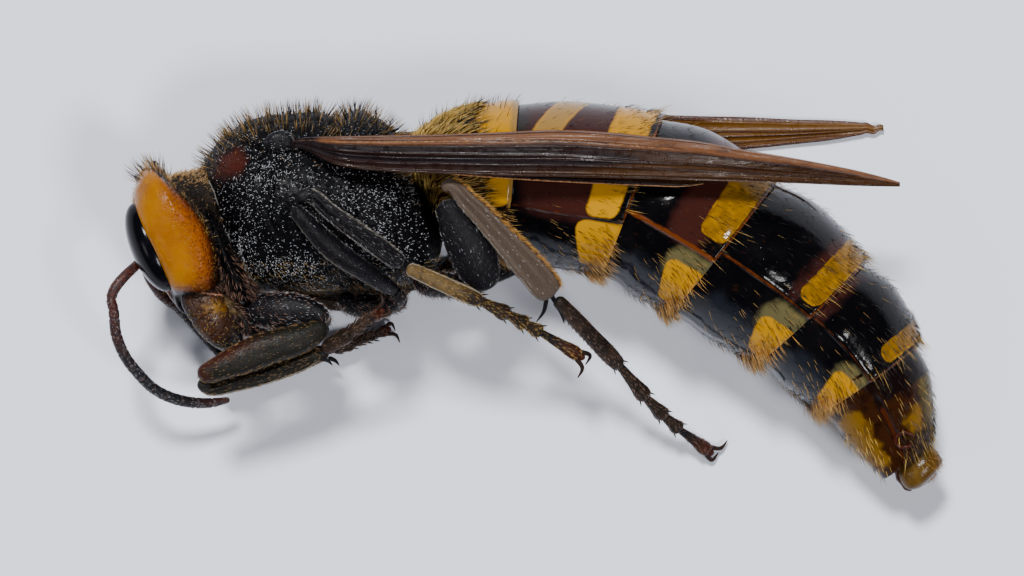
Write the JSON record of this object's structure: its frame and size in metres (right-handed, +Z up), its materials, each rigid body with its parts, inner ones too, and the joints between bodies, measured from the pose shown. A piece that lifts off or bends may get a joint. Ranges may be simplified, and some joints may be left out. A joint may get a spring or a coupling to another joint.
{
  "type": "asian giant hornet specimen",
  "caption": "Still life-size large hornet lying on its side: orange head, black thorax, banded tapering gaster, folded wings, bent legs and curved feelers.",
  "frame": {"origin": "on the floor, under the middle of the whole hornet's bounding box", "axes": "+X along the body to the tail, +Y to the back of the hornet, +Z up from the floor, which is the hornet's left side"},
  "size_m": [0.0378, 0.0178, 0.0105],
  "materials": {
    "orange_cuticle": "glossy orange shell, finely pitted",
    "eye": "glossy black",
    "antenna_cuticle": "satin blackish brown",
    "jaw_cuticle": "glossy brown with a yellow base",
    "neck_skin": "woolly tan skin",
    "thorax_cuticle": "satin black with fine pale down",
    "gaster_cuticle": "glossy black and brown with yellow bands",
    "leg_cuticle": "satin dark brown",
    "sting_cuticle": "glossy yellow brown",
    "wing_membrane": "glossy amber brown, folded and half clear"
  },
  "bodies": {
    "root": {"antenna_left": "antenna_cuticle", "antenna_right": "antenna_cuticle", "eye_left": "eye", "eye_right": "eye", "forewing_left": "wing_membrane", "forewing_right": "wing_membrane", "gaster_1": "gaster_cuticle", "gaster_2": "gaster_cuticle", "gaster_3": "gaster_cuticle", "gaster_4": "gaster_cuticle", "gaster_5": "gaster_cuticle", "gaster_6": "gaster_cuticle", "head": "orange_cuticle", "hindwing_left": "wing_membrane", "hindwing_right": "wing_membrane", "leg_front_left_coxa": "leg_cuticle", "leg_front_left_femur": "leg_cuticle", "leg_front_left_tarsus": "leg_cuticle", "leg_front_left_tibia": "leg_cuticle", "leg_front_right_coxa": "leg_cuticle", "leg_front_right_femur": "leg_cuticle", "leg_front_right_tarsus": "leg_cuticle", "leg_front_right_tibia": "leg_cuticle", "leg_hind_left_coxa": "leg_cuticle", "leg_hind_left_femur": "leg_cuticle", "leg_hind_left_tarsus": "leg_cuticle", "leg_hind_left_tibia": "leg_cuticle", "leg_hind_right_coxa": "leg_cuticle", "leg_hind_right_femur": "leg_cuticle", "leg_hind_right_tarsus": "leg_cuticle", "leg_hind_right_tibia": "leg_cuticle", "leg_mid_left_coxa": "leg_cuticle", "leg_mid_left_femur": "leg_cuticle", "leg_mid_left_tarsus": "leg_cuticle", "leg_mid_left_tibia": "leg_cuticle", "leg_mid_right_coxa": "leg_cuticle", "leg_mid_right_femur": "leg_cuticle", "leg_mid_right_tarsus": "leg_cuticle", "leg_mid_right_tibia": "leg_cuticle", "mandible_left": "jaw_cuticle", "mandible_right": "jaw_cuticle", "mesothorax": "thorax_cuticle", "mouthparts": "jaw_cuticle", "neck": "neck_skin", "pronotum": "thorax_cuticle", "propleura": "thorax_cuticle", "propodeum": "thorax_cuticle", "sting": "sting_cuticle", "sting_sheath": "sting_cuticle", "tegula_left": "leg_cuticle", "tegula_right": "leg_cuticle"}
  },
  "joints": []
}
